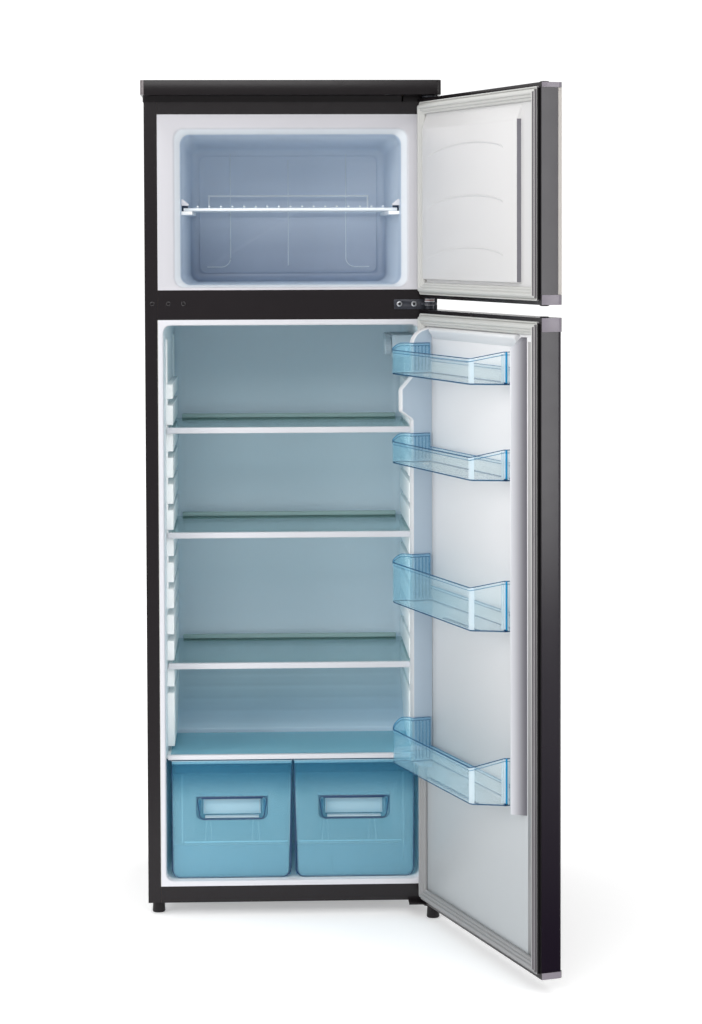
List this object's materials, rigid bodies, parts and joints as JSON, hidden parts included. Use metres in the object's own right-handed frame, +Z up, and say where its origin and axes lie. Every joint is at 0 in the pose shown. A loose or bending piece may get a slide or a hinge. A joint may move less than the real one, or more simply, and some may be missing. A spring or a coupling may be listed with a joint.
{
  "type": "top freezer refrigerator",
  "caption": "Free-standing dark upright refrigerator with a freezer on top, both doors open: glass shelves, wire shelf, blue crisper drawers and door bins.",
  "frame": {"origin": "on the floor, under the middle of the cabinet's front edge", "axes": "+X to the right as seen from the front, where the doors hinge; +Y to the rear; +Z up"},
  "size_m": [0.7935, 1.1738, 1.72],
  "materials": {
    "dark_painted_steel": "satin brown-black paint",
    "galvanised_steel": "matte galvanised sheet",
    "zinc_steel": "satin zinc plate",
    "black_plastic": "satin moulded plastic",
    "white_plastic": "satin thermoformed plastic",
    "cream_plastic": "satin moulded plastic",
    "insulation_foam": "matte rigid foam",
    "evaporator_aluminium": "matte roll-bond sheet",
    "black_enamel": "gloss enamel",
    "black_rubber": "matte",
    "grey_gasket": "matte soft vinyl",
    "lamp_glass": "frosted",
    "white_wire": "gloss dipped coating",
    "shelf_glass": "polished",
    "clear_blue_plastic": "gloss clear moulding"
  },
  "bodies": {
    "cabinet": {"side_panel_left": "dark_painted_steel", "side_panel_right": "dark_painted_steel", "back_panel": "galvanised_steel", "base_plate": "galvanised_steel", "worktop": "black_plastic", "top_rail": "dark_painted_steel", "middle_rail": "dark_painted_steel", "plinth": "dark_painted_steel", "freezer_liner": "white_plastic", "fridge_liner": "white_plastic", "shelf_supports": "white_plastic", "cabinet_insulation": "insulation_foam", "evaporator_plates": "evaporator_aluminium", "drain_pipe": "white_plastic", "compressor": "black_enamel", "compressor_mounts": "black_rubber", "drip_tray": "black_plastic", "condenser_coil": "black_enamel", "condenser_brackets": "black_plastic", "power_inlet": "black_plastic", "thermostat_housing": "cream_plastic", "lamp_bulb": "lamp_glass", "lamp_cover": "lamp_glass", "hinge_top": "zinc_steel", "hinge_middle": "dark_painted_steel", "hinge_bottom": "dark_painted_steel", "hinge_screws": "zinc_steel", "bar_plugs": "black_plastic", "rear_feet": "black_plastic"},
    "freezer_door": {"freezer_door_skin": "dark_painted_steel", "freezer_door_caps": "black_plastic", "freezer_door_liner": "white_plastic", "freezer_door_foam": "insulation_foam", "freezer_door_gasket": "grey_gasket", "freezer_door_inserts": "black_plastic"},
    "fridge_door": {"fridge_door_skin": "dark_painted_steel", "fridge_door_caps": "black_plastic", "fridge_door_liner": "white_plastic", "fridge_door_foam": "insulation_foam", "fridge_door_gasket": "grey_gasket", "fridge_door_inserts": "black_plastic"},
    "wire_shelf": {"freezer_shelf": "white_wire"},
    "upper_shelf": {"shelf_glass_1": "shelf_glass", "shelf_trim_1": "white_plastic"},
    "middle_shelf": {"shelf_glass_2": "shelf_glass", "shelf_trim_2": "white_plastic"},
    "lower_shelf": {"shelf_glass_3": "shelf_glass", "shelf_trim_3": "white_plastic"},
    "crisper_cover": {"crisper_cover_glass": "shelf_glass", "crisper_cover_trim": "white_plastic"},
    "left_drawer": {"drawer_left": "clear_blue_plastic"},
    "right_drawer": {"drawer_right": "clear_blue_plastic"},
    "door_bin_1": {"bin_1": "clear_blue_plastic"},
    "door_bin_2": {"bin_2": "clear_blue_plastic"},
    "door_bin_3": {"bin_3": "clear_blue_plastic"},
    "door_bin_4": {"bin_4": "clear_blue_plastic"},
    "thermostat_dial": {"thermostat_knob": "cream_plastic"},
    "switch_button": {"light_switch": "white_plastic"},
    "levelling_foot_left": {"foot_left": "black_plastic"},
    "levelling_foot_right": {"foot_right": "black_plastic"}
  },
  "joints": [
    {"name": "freezer_door_hinge", "type": "hinge", "parent": "cabinet", "child": "freezer_door", "pos_m": [0.2825, -0.027, 0], "axis": [0, 0, 1], "range_deg": [-108, 6]},
    {"name": "fridge_door_hinge", "type": "hinge", "parent": "cabinet", "child": "fridge_door", "pos_m": [0.2825, -0.027, 0], "axis": [0, 0, 1], "range_deg": [-108, 6]},
    {"name": "wire_shelf_slide", "type": "slide", "parent": "cabinet", "child": "wire_shelf", "axis": [0, -1, 0], "range_m": [0, 0.25]},
    {"name": "upper_shelf_slide", "type": "slide", "parent": "cabinet", "child": "upper_shelf", "axis": [0, -1, 0], "range_m": [0, 0.1]},
    {"name": "middle_shelf_slide", "type": "slide", "parent": "cabinet", "child": "middle_shelf", "axis": [0, -1, 0], "range_m": [0, 0.1]},
    {"name": "lower_shelf_slide", "type": "slide", "parent": "cabinet", "child": "lower_shelf", "axis": [0, -1, 0], "range_m": [0, 0.1]},
    {"name": "crisper_cover_slide", "type": "slide", "parent": "cabinet", "child": "crisper_cover", "axis": [0, -1, 0], "range_m": [0, 0.04]},
    {"name": "left_drawer_slide", "type": "slide", "parent": "cabinet", "child": "left_drawer", "axis": [0, -1, 0], "range_m": [0, 0.2]},
    {"name": "right_drawer_slide", "type": "slide", "parent": "cabinet", "child": "right_drawer", "axis": [0, -1, 0], "range_m": [0, 0.2]},
    {"name": "bin_1_lift", "type": "slide", "parent": "fridge_door", "child": "door_bin_1", "axis": [0, 0, 1], "range_m": [0, 0.02]},
    {"name": "bin_2_lift", "type": "slide", "parent": "fridge_door", "child": "door_bin_2", "axis": [0, 0, 1], "range_m": [0, 0.02]},
    {"name": "bin_3_lift", "type": "slide", "parent": "fridge_door", "child": "door_bin_3", "axis": [0, 0, 1], "range_m": [0, 0.02]},
    {"name": "bin_4_lift", "type": "slide", "parent": "fridge_door", "child": "door_bin_4", "axis": [0, 0, 1], "range_m": [0, 0.02]},
    {"name": "thermostat_turn", "type": "hinge", "parent": "cabinet", "child": "thermostat_dial", "pos_m": [0.198, 0.14, 1.172], "axis": [-1, 0, 0], "range_deg": [0, 240]},
    {"name": "switch_press", "type": "slide", "parent": "cabinet", "child": "switch_button", "axis": [0, 1, 0], "range_m": [0, 0.005], "stiffness_N_per_m": 200, "springref_m": -0.005},
    {"name": "foot_left_turn", "type": "hinge", "parent": "cabinet", "child": "levelling_foot_left", "pos_m": [-0.28, 0.042, 0], "axis": [0, 0, 1], "continuous": true},
    {"name": "foot_right_turn", "type": "hinge", "parent": "cabinet", "child": "levelling_foot_right", "pos_m": [0.287, -0.03, 0], "axis": [0, 0, 1], "continuous": true}
  ]
}
